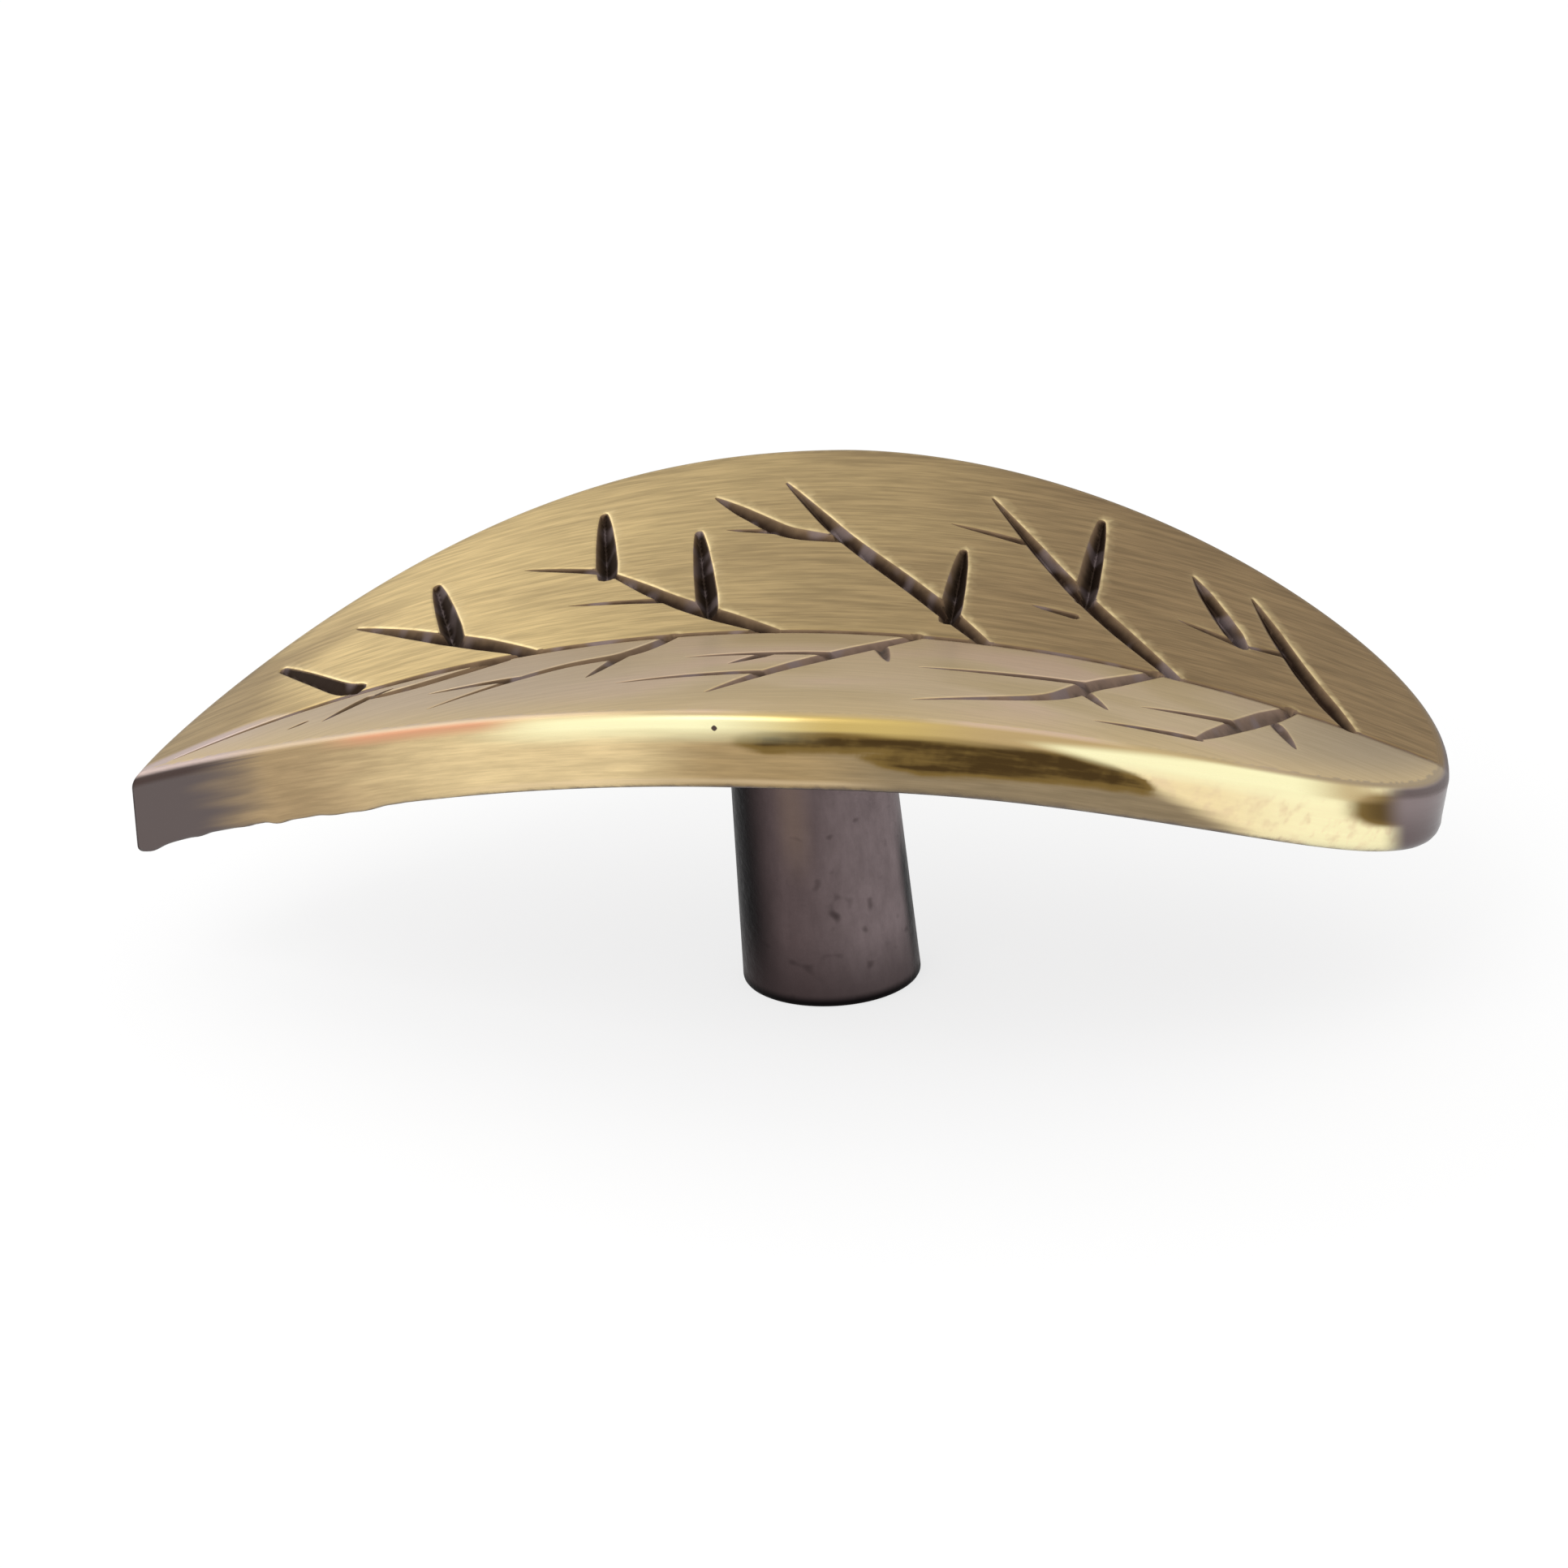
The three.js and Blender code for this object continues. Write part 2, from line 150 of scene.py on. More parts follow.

# Bands of painted dark reflection on the near edge: place from mid-length, and the band's middle,
# half-width and strength there, with the first two measured down from the top of the edge
EDGE_DARK_REFLECTION = (
    (
        (8, 2.3, 1.0, 0.0),
        (10.5, 2.4, 1.6, 0.65),
        (14, 2.4, 1.8, 0.85),
        (18, 2.3, 1.6, 0.85),
        (22, 2.3, 1.4, 0.85),
        (26, 3.0, 0.9, 0.3),
        (27.5, 3.3, 0.8, 0.0),
    ),
    (
        (-1, 1.9, 0.4, 0.0),
        (2, 2.0, 0.9, 0.85),
        (7.5, 1.9, 0.9, 0.85),
        (10, 1.8, 0.8, 0.8),
        (12, 1.7, 0.7, 0.85),
        (16, 1.6, 0.7, 0.9),
        (18, 1.8, 0.9, 0.95),
        (21, 2.1, 1.1, 1.0),
        (24, 2.5, 1.0, 1.0),
        (25.8, 2.9, 0.8, 0.7),
        (27, 3.2, 0.6, 0.0),
    ),
    (
        (7, 2.6, 0.4, 0.0),
        (9.5, 3.1, 0.6, 0.7),
        (12, 3.4, 0.7, 0.95),
        (15, 3.2, 0.7, 1.0),
        (18, 3.0, 0.8, 1.0),
        (21, 2.8, 0.8, 0.95),
        (24, 2.9, 0.8, 0.9),
        (26, 3.1, 0.5, 0.0),
    ),
)

PIT = (-1.2, 1.1)  # small casting pit in the near edge: along the leaf, and down

# Fineness of the mesh
OUTLINE_STEP = 0.35
CORNER_EASE = 1.2
FILLET_STEPS = 7
WALL_STEPS = 8
STROKE_STEP = 0.45
CAP_STEPS = 5
GROOVE_GRID = 0.2
TOP_GRID = 0.6
UNDERSIDE_GRID = 1.3
GROOVE_REACH = 0.3  # from a rim outwards, that the fine grid still covers
GROOVE_GAP = 0.06  # between the lines and the loose points of each grid
TOP_GAP = 0.25
UNDERSIDE_GAP = 0.6
CREASE_POINTS = 180
UNDER_SKIN = 40  # depth that marks the underside in the places on the skin
POST_SIDES = 120
POST_STEP = 0.35
HOLE_SIDES = 40
THREAD_STEPS = 8  # rings to each turn of the thread

WELD = 0.002
SHARP_ANGLE = 38
RIM_BAND = 0.15  # strip of the top inside its fillet, over which the shading levels out
RIM_TILT = 6  # degrees that the shading leans outwards where the top meets its fillet

# Colours, as display values
TOP_TIP = (212, 186, 132)
TOP_STALK = (138, 115, 82)
TOP_SHADE = (150, 126, 88)
# Painted shade along the far outline and on the far fillet
FAR_RIM_SHADE = (92, 74, 56)
NEAR_TOP = (208, 184, 144)
NEAR_ROSE = (214, 186, 156)
NEAR_OLIVE = (198, 174, 128)
NEAR_BORDER = (214, 187, 134)
NEAR_PALE = (196, 174, 146)
NEAR_TIP = (190, 170, 162)
NEAR_STALK = (170, 150, 118)
EDGE_OLD = (172, 147, 110)
EDGE_GOLD = (224, 199, 150)
EDGE_BROWN = (168, 143, 102)
EDGE_GREY = (145, 127, 99)
EDGE_CREAM = (245, 223, 172)
EDGE_BRIGHT = (255, 244, 194)
EDGE_ROSE = (232, 206, 166)
EDGE_TIP = (100, 90, 88)
END_DEEP = (108, 95, 95)
END_PALE = (138, 124, 124)
# Dark brown on the near edge: a painted reflection in its middle, and a patch by the stalk end
EDGE_DARK_PALE = (123, 99, 54)
EDGE_DARK_DEEP = (74, 56, 30)
FILLET_HIGHLIGHT = (255, 248, 198)
FILLET_GOLD = (205, 178, 108)
FILLET_TAN = (190, 163, 116)
FILLET_COPPER = (216, 158, 122)
FILLET_DARK = (80, 66, 62)
OXIDE_MID = (94, 80, 80)
POST_LIT = (134, 120, 121)
POST_SHEEN = (126, 106, 94)
OXIDE_DEEP = (60, 50, 50)
POST_BLACK = (20, 17, 18)
# Rubbed metal on the rims of the cuts, which also serves as their painted highlight
RIM_WORN_AND_LIT = (232, 209, 158)
GROOVE_WALL = (122, 100, 77)
GROOVE_ROSE = (138, 115, 99)
GROOVE_MAUVE = (126, 112, 112)
GROOVE_BLACK = (50, 37, 28)

# Camera, from a fit to the photograph's view
VIEW_ELEVATION = 22
VIEW_AZIMUTH = 7
VIEW_ROLL = -3.069
VIEW_DISTANCE = 0.45
VIEW_LENS = 152.16
VIEW_TARGET = (0.051, 0, 13.93)

# Floor, surroundings and lamps: name, place, size and level
FLOOR_REACH = 4
FLOOR_HEIGHT = -0.00005
FLOOR_WHITE = 0.34
FLOOR_LIFT = 0.76
WORLD_LEVEL = 0.6
SOFTBOXES = (
    ("key", (-0.3, -0.5, 0.6), 0.55, 1.6),
    ("back", (-0.6, 0.5, 0.5), 0.6, 0.8),
)

HALF_LENGTH = LEAF_LENGTH / 2
HALF_WIDTH = LEAF_WIDTH / 2


def through_three(three, along):
    """Value that passes through a tip, a middle and a stalk value."""
    tip, middle, stalk = three
    return middle + along * (stalk - tip) / 2 + along * along * ((stalk + tip) / 2 - middle)


def slope_of(degrees):
    return np.tan(np.radians(degrees))


def top_height(x, y):
    along = x / HALF_LENGTH
    arch = MIDRIB_HEIGHT - ARCH_DROP * along * along
    return arch + slope_of(through_three(FOLD_ANGLE, along)) * np.abs(y)


def underside_height(x, y):
    return top_height(x, np.hypot(y, UNDERSIDE_EASE)) - LEAF_THICKNESS


def half_width_at(along, outline):
    widest, tip_full, tip_round, stalk_full, stalk_round = outline
    along = np.asarray(along, float)
    to_tip = np.clip((widest - along) / (widest + 1), 0, 1)
    to_stalk = np.clip((along - widest) / (1 - widest), 0, 1)
    tip_half = (1 - to_tip**tip_full) ** tip_round
    stalk_half = (1 - to_stalk**stalk_full) ** stalk_round
    return HALF_WIDTH * np.where(along < widest, tip_half, stalk_half)


def outline_loop():
    """Plan view outline at even steps: from the tip along the near half and back on the far."""
    turn = np.linspace(0, math.pi, 3000)
    along = -np.cos(turn)
    near = np.stack([along * HALF_LENGTH, -half_width_at(along, OUTLINES["near"])], 1)
    far = np.stack([along * HALF_LENGTH, half_width_at(along, OUTLINES["far"])], 1)
    halves = []
    for half in (near, far[::-1]):
        run = np.concatenate([[0], np.cumsum(np.hypot(*np.diff(half, axis=0).T))])
        steps = int(round(run[-1] / OUTLINE_STEP))
        places = np.linspace(0, run[-1], steps + 1)[:-1]
        halves.append(np.stack([np.interp(places, run, half[:, k]) for k in (0, 1)], 1))
    return np.concatenate(halves), len(halves[0])


def outward_of(loop):
    """Unit vectors out of the loop, eased so that corners fan out."""
    along = np.roll(loop, -1, 0) - np.roll(loop, 1, 0)
    out = np.stack([along[:, 1], -along[:, 0]], 1)
    out /= np.linalg.norm(out, axis=1)[:, None]
    reach = round(CORNER_EASE / OUTLINE_STEP)
    eased = sum(np.roll(out, k, 0) for k in range(-reach, reach + 1))
    return eased / np.linalg.norm(eased, axis=1)[:, None]


# Carving
def stroke_path(places, side, outline, steps):
    """Centre line through a stroke's places, as points of a uniform Catmull-Rom curve."""
    along = np.array([p[0] for p in places])
    across = np.array([p[1] for p in places])
    plan = np.stack([along * HALF_LENGTH, side * across * half_width_at(along, outline)], 1)
    last = len(plan) - 1
    points = []
    for place in np.linspace(0, last, steps + 1):
        k = min(int(place), last - 1)
        t = place - k
        before, start = plan[max(k - 1, 0)], plan[k]
        end, after = plan[k + 1], plan[min(k + 2, last)]
        v0, v1 = (end - before) / 2, (after - start) / 2
        points.append(
            (2 * start - 2 * end + v0 + v1) * t**3
            + (3 * end - 3 * start - 2 * v0 - v1) * t**2
            + v0 * t
            + start
        )
    return np.array(points)


class Stroke:
    """One V-shaped cut: its centre line, and its size at each point of it."""

    def __init__(self, carving, side, outline):
        self.kind, *places = carving
        self.width, self.depth, swell, self.wear, self.tone = STROKES[self.kind]
        rough = stroke_path(places, side, outline, 40)
        length = np.hypot(*np.diff(rough, axis=0).T).sum()
        steps = max(6, math.ceil(length / STROKE_STEP))
        self.path = stroke_path(places, side, outline, steps)
        share = np.linspace(0, len(swell) - 1, steps + 1)
        self.size = np.interp(share, np.arange(len(swell)), swell)
        self.low = self.path.min(0) - self.width
        self.high = self.path.max(0) + self.width

    def reading(self, points):
        """Distance from the centre line and size of the stroke there."""
        start, step = self.path[:-1], np.diff(self.path, axis=0)
        offset = points[:, None, :] - start[None]
        share = np.clip((offset * step).sum(2) / (step * step).sum(1), 0, 1)
        away = np.linalg.norm(offset - share[..., None] * step, axis=2)
        best = away.argmin(1)
        rows = np.arange(len(points))
        size = self.size[best] + share[rows, best] * (self.size[best + 1] - self.size[best])
        return away[rows, best], size

    def cut(self, points):
        """Depth of the cut and signed distance outside its rim."""
        depth = np.zeros(len(points))
        outside = np.full(len(points), 9.0)
        near = ((points > self.low) & (points < self.high)).all(1)
        if near.any():
            away, size = self.reading(points[near])
            half = size * self.width / 2
            inside = np.where(
                away < BED_ROUNDING,
                half - (away**2 + BED_ROUNDING**2) / (2 * BED_ROUNDING),
                half - away,
            )
            soft = np.minimum(RIM_ROUNDING, half * 0.7)
            eased = np.where(
                np.abs(inside) < soft, (inside + soft) ** 2 / (4 * soft), np.maximum(inside, 0)
            )
            depth[near] = eased * 2 * self.depth / self.width
            outside[near] = away - half
        return depth, outside

    def lines(self):
        """Bottom line, and closed lines along the start, middle and end of the rounded rim."""
        tangent = np.gradient(self.path, axis=0)
        tangent /= np.linalg.norm(tangent, axis=1)[:, None]
        left = np.stack([-tangent[:, 1], tangent[:, 0]], 1)
        half = self.size * self.width / 2
        soft = np.minimum(RIM_ROUNDING, half * 0.7)
        found = [(self.path, False)]
        for level in (-1, 0, 1):
            reach = (half + level * soft)[:, None]
            turns = np.linspace(0, math.pi, CAP_STEPS + 1)[1:-1]
            caps = []
            for end, forward in ((-1, 1), (0, -1)):
                aside, ahead = left[end], tangent[end]
                swing = [forward * (aside * math.cos(t) + ahead * math.sin(t)) for t in turns]
                caps.append(self.path[end] + np.array(swing) * reach[end])
            sides = self.path + left * reach, (self.path - left * reach)[::-1]
            found.append((np.concatenate([sides[0], caps[0], sides[1], caps[1]]), True))
        return found


strokes = [Stroke(carving, 1, OUTLINES["far"]) for carving in FAR_CARVING]
strokes += [Stroke(carving, -1, OUTLINES["near"]) for carving in NEAR_CARVING + SCRATCHES]
strokes.append(Stroke(MIDRIB_CARVING, 1, OUTLINES["far"]))


def carving_at(points):
    """Depth of the carving and distance outside the nearest rim."""
    depth = np.zeros(len(points))
    outside = np.full(len(points), 9.0)
    for stroke in strokes:
        cut, away = stroke.cut(points)
        depth = np.maximum(depth, cut)
        outside = np.minimum(outside, away)
    return depth, outside


def finish_at(points):
    """Bright rubbing along the rims, with a painted highlight on the rims that face the key lamp,
    and how dark each place within the carving is: its patina, with painted shade on one wall.
    """
    wear = np.zeros(len(points))
    dark = np.zeros(len(points))
    for stroke in strokes:
        cut, outside = stroke.cut(points)
        east, west, north, south = (stroke.cut(p)[1] for p in beside(points, 0.02))
        slope = np.column_stack([east - west, north - south]) / 0.04
        toward_lit_side = slope @ np.array(LIT_SIDE)
        # Painted highlight: the bright strip is strongest on the rim that faces the key lamp.
        facing = np.clip(toward_lit_side, 0.1, 1)
        worn_and_lit = np.exp(-(((outside - BRIGHT_OFFSET) / RIM_BRIGHT_REACH) ** 2))
        wear = np.maximum(wear, stroke.wear * facing * worn_and_lit)
        # Patina darkens each cut by its depth; painted shade makes the east wall of a wedge, and the
        # wall of a vein away from the lit side, darker still.
        sunk = np.clip(cut / stroke.depth / 0.55, 0, 1)
        if stroke.kind == "wedge":
            sunk = np.clip(0.3 + 0.9 * sunk + 0.6 * slope[:, 0], 0, 1)
        elif stroke.kind == "vein":
            sunk = np.clip(cut / stroke.depth / 0.6 * (1.0 - 0.2 * toward_lit_side), 0, 1)
        else:
            sunk = np.sqrt(sunk)
        inside = np.clip(-outside / DARK_REACH, 0, 1)
        dark = np.maximum(dark, inside * stroke.tone * (0.3 + 0.7 * sunk))
    return wear, dark


def beside(points, reach):
    """The points moved a little east, west, north and south."""
    return [points + np.array(d) * reach for d in ((1, 0), (-1, 0), (0, 1), (0, -1))]


def carved_height(points):
    return top_height(points[:, 0], points[:, 1]) - carving_at(points)[0]


# Triangulated fields
def hex_grid(step):
    rows = np.arange(-HALF_WIDTH, HALF_WIDTH, step * math.sqrt(3) / 2)
    columns = np.arange(-HALF_LENGTH, HALF_LENGTH, step)
    grid = [(x + (k % 2) * step / 2, y) for k, y in enumerate(rows) for x in columns]
    return np.array(grid)


def inside_loop(points, loop):
    """Which points lie inside a closed loop."""
    inside = np.zeros(len(points), bool)
    x, y = points.T
    for (x0, y0), (x1, y1) in zip(loop, np.roll(loop, -1, 0)):
        if y0 != y1:
            crosses = (y0 > y) != (y1 > y)
            inside ^= crosses & (x < (x1 - x0) * (y - y0) / (y1 - y0) + x0)
    return inside


def clear_of(points, others, gap):
    """The points that keep a distance from the others, with both sorted into square bins."""
    bins = {}
    for p in others:
        bins.setdefault((math.floor(p[0] / gap), math.floor(p[1] / gap)), []).append(p)
    kept = []
    for p in points:
        i, j = math.floor(p[0] / gap), math.floor(p[1] / gap)
        around = [(a, b) for a in (i - 1, i, i + 1) for b in (j - 1, j, j + 1)]
        near = [q for place in around for q in bins.get(place, ())]
        if all((p[0] - q[0]) ** 2 + (p[1] - q[1]) ** 2 > gap * gap for q in near):
            kept.append(p)
    return np.array(kept)


def triangulated(loop, lines, loose):
    """Triangles inside a loop that follow the lines, with loose points between them."""
    points = [tuple(p) for p in loop]
    count = len(points)
    edges = [(k, (k + 1) % count) for k in range(count)]
    for line in lines:
        first = len(points)
        points += [tuple(p) for p in line]
        edges += [(first + k, first + k + 1) for k in range(len(line) - 1)]
    points += [tuple(p) for p in loose]
    made = delaunay_2d_cdt([Vector(p) for p in points], edges, [], 1, 1e-4, False)
    points = np.array([tuple(p) for p in made[0]])
    faces = np.array([tuple(face) for face in made[2]])
    return points, faces[inside_loop(points[faces].mean(1), loop)].tolist()


def kept_runs(stroke, line, closed):
    """Stretches of a stroke's line that no deeper stroke has cut away."""
    if closed:
        line = np.concatenate([line, line[:1]])
    whole = carving_at(line)[0]
    own = stroke.cut(line)[0]
    shown = whole - own < 0.015
    runs, run = [], []
    for point, seen in zip(line, shown):
        if seen:
            run.append(point)
        elif run:
            runs.append(run)
            run = []
    runs.append(run)
    return [np.array(r) for r in runs if len(r) > 1]


def top_field(loop):
    inner = loop - outward_of(loop) * RIM_BAND
    lines = [np.concatenate([inner, inner[:1]])]
    for stroke in strokes:
        for line, closed in stroke.lines():
            lines += kept_runs(stroke, line, closed)
    crease = np.linspace(loop[:, 0].min() + 0.3, loop[:, 0].max() - 0.3, CREASE_POINTS)
    crease = np.stack([crease, np.zeros(len(crease))], 1)
    crease = crease[carving_at(crease)[1] > GROOVE_REACH]
    breaks = np.where(np.diff(crease[:, 0]) > 1)[0] + 1
    lines += [run for run in np.split(crease, breaks) if len(run) > 1]
    fine = hex_grid(GROOVE_GRID)
    fine = fine[carving_at(fine)[1] < GROOVE_REACH]
    coarse = hex_grid(TOP_GRID)
    coarse = coarse[carving_at(coarse)[1] > GROOVE_REACH * 1.5]
    drawn = np.concatenate([loop] + lines)
    fine = clear_of(fine, drawn, GROOVE_GAP)
    coarse = clear_of(coarse[inside_loop(coarse, loop)], drawn, TOP_GAP)
    return triangulated(loop, lines, np.concatenate([fine, coarse]))


def underside_field(loop, neck):
    grid = hex_grid(UNDERSIDE_GRID)
    grid = grid[inside_loop(grid, loop) & ~inside_loop(grid, neck)]
    grid = clear_of(grid, np.concatenate([loop, neck]), UNDERSIDE_GAP)
    points, faces = triangulated(loop, [np.concatenate([neck, neck[:1]])], grid)
    centres = np.array([points[list(face)].mean(0) for face in faces])
    open_hole = inside_loop(centres, neck)
    return points, [face for face, gone in zip(faces, open_hole) if not gone]


# Mesh of the whole casting, gathered part by part and welded at the end
class Casting:
    def __init__(self):
        self.points, self.faces, self.normals = [], [], []
        self.marks = {name: [] for name in ("wear", "dark", "round", "post", "stain", "border")}
        self.skin = []

    def add(self, points, faces, skin, normals=None, **marks):
        """Points in millimetres, with the place of each on the skin and its marks."""
        first = len(self.points)
        self.points += [tuple(p) for p in points]
        self.faces += [tuple(first + k for k in face) for face in faces]
        self.skin += [tuple(p) for p in skin]
        flat = [(0, 0, 0)] * len(points)
        self.normals += flat if normals is None else [tuple(n) for n in normals]
        for name, values in self.marks.items():
            values += list(np.broadcast_to(marks.get(name, 0.0), len(points)).astype(float))

    def add_rings(self, rings, skin, flip=False, **marks):
        """Rings of as many points each, joined by four-sided faces."""
        count = len(rings[0])
        faces = []
        for i in range(len(rings) - 1):
            for k in range(count):
                n = (k + 1) % count
                face = (i * count + k, i * count + n, (i + 1) * count + n, (i + 1) * count + k)
                faces.append(face[::-1] if flip else face)
        self.add(np.concatenate(rings), faces, np.concatenate(skin), **marks)


def quarter_round(steps):
    turn = np.linspace(0, math.pi / 2, steps + 1)
    return np.stack([1 - np.sin(turn), 1 - np.cos(turn)], 1)


def lerp(a, b, share):
    return a + (b - a) * share


def drips(plan):
    """Height of the small drips that the casting left along the lower edge by the tip."""
    amount = DRIP_HEIGHT * np.clip((DRIPS_END - plan[:, 0]) / DRIPS_FADE, 0, 1)
    rough = [noise.noise((x * 0.4, y * 0.4, 3.0)) for x, y in plan.tolist()]
    return -amount * np.clip(np.array(rough) + 0.2, 0, 1)


def edge_rows(loop):
    """Rows round the leaf's edge, from the blade's top to its underside, with how far round."""
    along = loop[:, 0] / HALF_LENGTH
    outward = outward_of(loop)
    fillet = lerp(*BOTTOM_FILLET, (1 + along) / 2)
    lean = through_three(WALL_LEAN, along)
    section = []
    for left, gone in quarter_round(FILLET_STEPS):
        section.append((TOP_FILLET * left + 0 * along, TOP_FILLET * gone + 0 * along))
    for share in np.linspace(0, 1, WALL_STEPS + 1)[1:-1]:
        depth = lerp(TOP_FILLET, LEAF_THICKNESS - fillet, share)
        section.append((lean * share, depth))
    for left, gone in quarter_round(FILLET_STEPS):
        section.append((lean + fillet * gone, LEAF_THICKNESS - fillet * left))
    rows = []
    for inset, depth in section:
        plan = loop - outward * inset[:, None]
        top = top_height(*plan.T)
        z = lerp(top, underside_height(*plan.T), depth / LEAF_THICKNESS)
        z = z + drips(plan) * np.clip(depth / LEAF_THICKNESS * 2.2 - 1.2, 0, 1)
        rows.append(np.column_stack([plan, z]))
    return rows, [depth for _, depth in section]


def post_rings():
    """Rings down the post, from the neck on the underside to the rim of the base."""
    underside = float(underside_height(POST_OFFSET, 0))
    turn = np.linspace(0, 2 * math.pi, POST_SIDES, endpoint=False)
    profile = []
    for left, gone in quarter_round(FILLET_STEPS)[::-1]:
        z = underside - POST_FILLET * left
        profile.append((POST_BASE_RADIUS - z * slope_of(POST_TAPER) + POST_FILLET * gone, z))
    heights = np.arange(underside - POST_FILLET - POST_STEP, POST_BASE_ROUNDING + 0.1, -POST_STEP)
    profile += [(POST_BASE_RADIUS - z * slope_of(POST_TAPER), z) for z in heights]
    for left, gone in quarter_round(4)[::-1]:
        z = POST_BASE_ROUNDING * gone
        side = POST_BASE_RADIUS - z * slope_of(POST_TAPER)
        profile.append((side - POST_BASE_ROUNDING * left, z))
    rings, skin = [], []
    for r, z in profile:
        x = POST_OFFSET - z * slope_of(POST_LEAN) + r * np.cos(turn)
        y = r * np.sin(turn)
        follow = np.clip((z - underside + POST_DRAPE) / (POST_DRAPE - POST_FILLET), 0, 1)
        drape = (underside_height(x, y) - underside) * follow**2
        rings.append(np.column_stack([x, y, z + drape]))
        skin.append(np.column_stack([x, y, z + 0 * x]))
    return rings, skin


def hole_rings():
    """Rings from the rim of the base inwards, over the chamfer and up the threaded hole."""
    turn = np.linspace(0, 2 * math.pi, HOLE_SIDES, endpoint=False)
    steps = int(THREAD_DEPTH / THREAD_PITCH) * THREAD_STEPS
    profile = [(THREAD_CORE_RADIUS + HOLE_CHAMFER, 0, 0)]
    for k in range(steps + 1):
        z = HOLE_CHAMFER / 2 + k * THREAD_PITCH / THREAD_STEPS
        profile.append((THREAD_CORE_RADIUS + HOLE_CHAMFER / 2, z, 1))
    profile.append((THREAD_CORE_RADIUS, HOLE_DEPTH, 0))
    rings = []
    for r, z, threaded in profile:
        radius = np.full(HOLE_SIDES, float(r))
        if threaded:
            phase = (z / THREAD_PITCH - turn / (2 * math.pi)) % 1
            ridge = np.abs(2 * phase - 1)
            radius = lerp(THREAD_CORE_RADIUS, THREAD_RADIUS, ridge)
        x, y = radius * np.cos(turn) + POST_OFFSET, radius * np.sin(turn)
        rings.append(np.column_stack([x, y, z + 0 * turn]))
    return rings


def surface_normals(points):
    """Normals of the carved top, from its slopes."""
    reach = 0.012
    east, west, north, south = (carved_height(p) for p in beside(points, reach))
    normal = np.column_stack([(west - east), (south - north), np.full(len(points), 2 * reach)])
    return normal / np.linalg.norm(normal, axis=1)[:, None]


def brushed_place(loop, near_count):
    """Run along the edge, measured on each half so that it follows the length of the leaf."""
    step = np.hypot(*(np.roll(loop, -1, 0) - loop).T)
    near = np.cumsum(step[:near_count]) - step[:near_count].sum() / 2
    far = step[near_count:].sum() / 2 - np.cumsum(step[near_count:])
    return np.concatenate([near, far])


def build_casting():
    casting = Casting()
    loop, near_count = outline_loop()
    rows, depths = edge_rows(loop)
    run = brushed_place(loop, near_count)

    top, faces = top_field(rows[0][:, :2])
    points = np.column_stack([top, carved_height(top)])
    wear, dark = finish_at(top)
    skin = np.column_stack([top, np.zeros(len(top))])
    normals = surface_normals(top)
    rim = surface_normals(rows[0][:, :2])
    rim[:, :2] += outward_of(loop) * slope_of(RIM_TILT)
    rim /= np.linalg.norm(rim, axis=1)[:, None]
    normals[: len(loop)] = rim
    along = np.clip(top[:, 0] / HALF_LENGTH, -1, 1)
    near_margin = (half_width_at(along, OUTLINES["near"]) + top[:, 1]) / NEAR_BORDER_REACH
    far_margin = (half_width_at(along, OUTLINES["far"]) - top[:, 1]) / FAR_BORDER_REACH
    margin = np.where(top[:, 1] < 0, near_margin, far_margin)
    border = np.exp(-(np.maximum(margin, 0) ** 2))
    casting.add(points, faces, skin, normals, wear=wear, dark=dark, border=border)

    places = []
    for k, depth in enumerate(depths):
        share = min(1, k / FILLET_STEPS)
        side = np.sign(rows[0][:, 1] + 1e-9)
        x = lerp(loop[:, 0], run, share)
        y = lerp(rows[0][:, 1], 30 * side, share)
        places.append(np.column_stack([x, y, depth]))
    count = len(rows) - 1
    rounds = np.repeat(np.arange(count + 1) / count, len(loop))
    edge = np.concatenate(rows)
    mean_depth = np.repeat(np.array(depths).mean(1), len(loop))
    stain = edge_stain(edge[:, 0], mean_depth) * (edge[:, 1] < 0)
    lie = np.concatenate([rim, np.zeros((count * len(loop), 3))])
    casting.add_rings(rows, places, flip=True, normals=lie, round=rounds, stain=stain)

    rings, ring_skin = post_rings()
    under, faces = underside_field(rows[-1][:, :2], rings[0][:, :2])
    points = np.column_stack([under, underside_height(*under.T)])
    points[: len(loop), 2] += drips(under[: len(loop)])
    skin = np.column_stack([under, np.full(len(under), UNDER_SKIN)])
    casting.add(points, [f[::-1] for f in faces], skin, round=1)
    casting.add_rings(rings, ring_skin, flip=True, round=1, post=past_first(rings))

    hole = hole_rings()
    base, faces = ring_field(rings[-1][:, :2], hole[0][:, :2])
    points = np.column_stack([base, np.zeros(len(base))])
    casting.add(points, [f[::-1] for f in faces], points, round=1, post=1)
    casting.add_rings(hole, hole, round=1, post=1, dark=past_first(hole))
    tip = HOLE_DEPTH + THREAD_CORE_RADIUS / slope_of(DRILL_POINT_ANGLE / 2)
    cone = np.concatenate([hole[-1], [(POST_OFFSET, 0, tip)]])
    count = len(hole[-1])
    faces = [(k, (k + 1) % count, count) for k in range(count)]
    casting.add(cone, faces, cone, round=1, post=1, dark=1)
    return casting


def past_first(rings):
    """A mark that starts after the first ring, which is welded to another surface."""
    return np.repeat(np.arange(len(rings)) > 0, len(rings[0]))


def ring_field(outer, inner):
    points, faces = triangulated(outer, [np.concatenate([inner, inner[:1]])], np.zeros((0, 2)))
    centres = np.array([points[list(face)].mean(0) for face in faces])
    return points, [face for face, gone in zip(faces, inside_loop(centres, inner)) if not gone]


